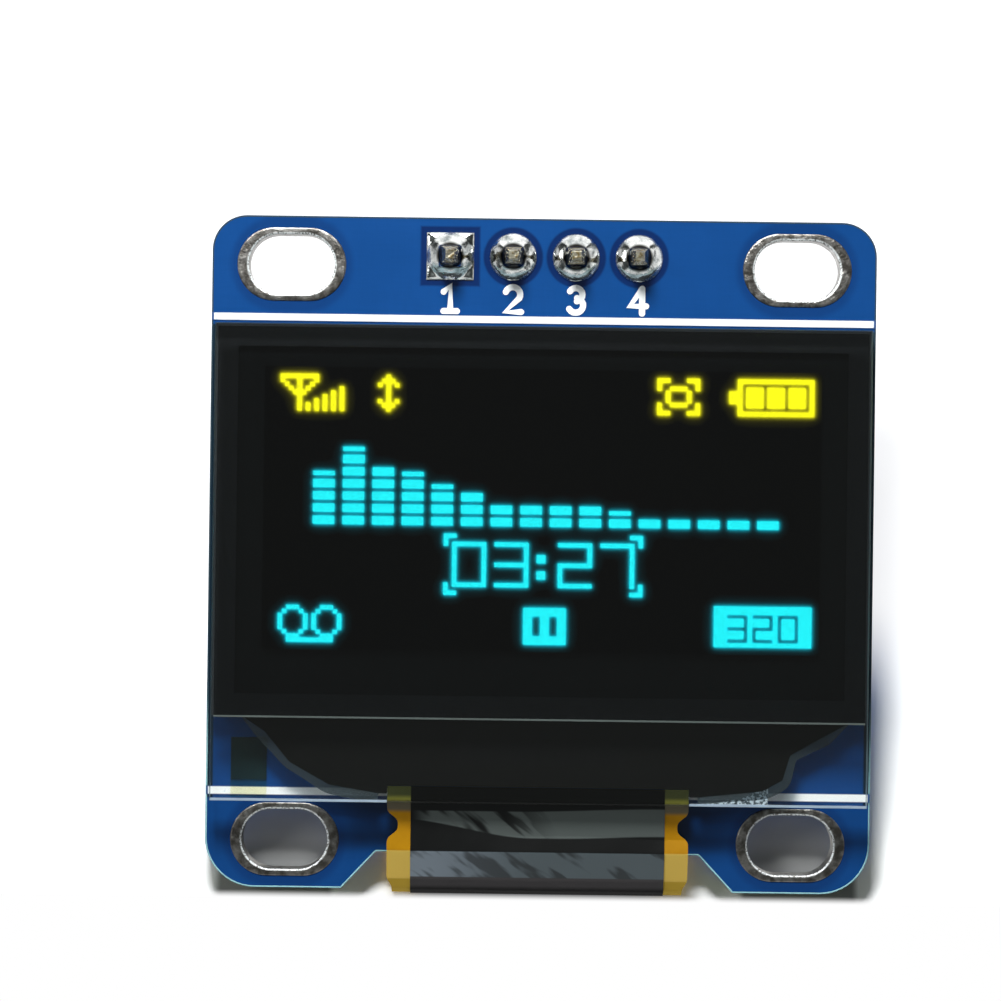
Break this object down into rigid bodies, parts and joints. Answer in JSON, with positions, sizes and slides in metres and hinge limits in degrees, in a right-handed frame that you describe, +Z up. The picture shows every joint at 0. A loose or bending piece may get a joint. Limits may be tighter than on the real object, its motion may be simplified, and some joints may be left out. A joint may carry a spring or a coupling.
{
  "type": "small oled display module",
  "caption": "Square display module: a glass light-emitting screen on a blue board with corner mounting slots, a row of header pins and a flex folded round the lower edge.",
  "frame": {"origin": "centre of the pattern of the four mounting slots, on the back face of the board", "axes": "+Z up towards the header, +X to the right seen from the front, the display faces -Y and the pins point along +Y"},
  "size_m": [0.0268, 0.0115, 0.027],
  "materials": {
    "solder_mask": "blue solder mask over glass-fibre laminate",
    "tin_plating": "tinned copper, a little rough",
    "solder": "bright solder",
    "pin_metal": "plated brass",
    "black_plastic": "moulded black plastic",
    "white_print": "white legend print",
    "adhesive_tape": "black foam tape",
    "rear_glass": "dark rear glass",
    "seal_bead": "cured sealing bead",
    "dark_panel": "black",
    "yellow_light": "glows yellow",
    "blue_light": "glows light blue",
    "clear_glass": "clear glass with a faint green edge",
    "polarizer_film": "dark glossy film",
    "silicon": "bare chip",
    "black_sealant": "black sealant",
    "amber_film": "clear amber film",
    "polyimide": "amber polyimide film",
    "cover_film": "glossy black cover film",
    "case_black": "moulded black epoxy",
    "capacitor_body": "tan ceramic with tinned ends",
    "resistor_body": "black glaze on white ceramic with tinned ends"
  },
  "bodies": {
    "root": {"circuit_board": "solder_mask", "slot_lining_1": "tin_plating", "slot_lining_2": "tin_plating", "slot_lining_3": "tin_plating", "slot_lining_4": "tin_plating", "header_pad_1": "tin_plating", "header_pad_2": "tin_plating", "header_pad_3": "tin_plating", "header_pad_4": "tin_plating", "header_strip": "black_plastic", "header_pin_1": "pin_metal", "header_pin_2": "pin_metal", "header_pin_3": "pin_metal", "header_pin_4": "pin_metal", "solder_joint_1": "solder", "solder_joint_2": "solder", "solder_joint_3": "solder", "solder_joint_4": "solder", "upper_bar": "white_print", "lower_bar": "white_print", "display_tape": "adhesive_tape", "rear_glass": "rear_glass", "edge_seal": "seal_bead", "light_panel": "dark_panel", "yellow_tiles": "yellow_light", "blue_tiles": "blue_light", "front_glass": "clear_glass", "polarizer": "polarizer_film", "driver_chip": "silicon", "chip_sealant": "black_sealant", "amber_film": "amber_film", "flex_tail": "polyimide", "flex_cover": "cover_film", "flex_contacts": "tin_plating", "flex_lands": "tin_plating", "regulator_case": "case_black", "regulator_leads": "tin_plating", "component_lands": "tin_plating", "component_solder": "solder", "capacitor_1": "capacitor_body", "capacitor_2": "capacitor_body", "capacitor_3": "capacitor_body", "capacitor_4": "capacitor_body", "capacitor_5": "capacitor_body", "capacitor_6": "capacitor_body", "capacitor_7": "capacitor_body", "capacitor_8": "capacitor_body", "resistor_1": "resistor_body", "resistor_2": "resistor_body", "resistor_3": "resistor_body", "resistor_4": "resistor_body", "resistor_5": "resistor_body", "resistor_6": "resistor_body"}
  },
  "joints": []
}
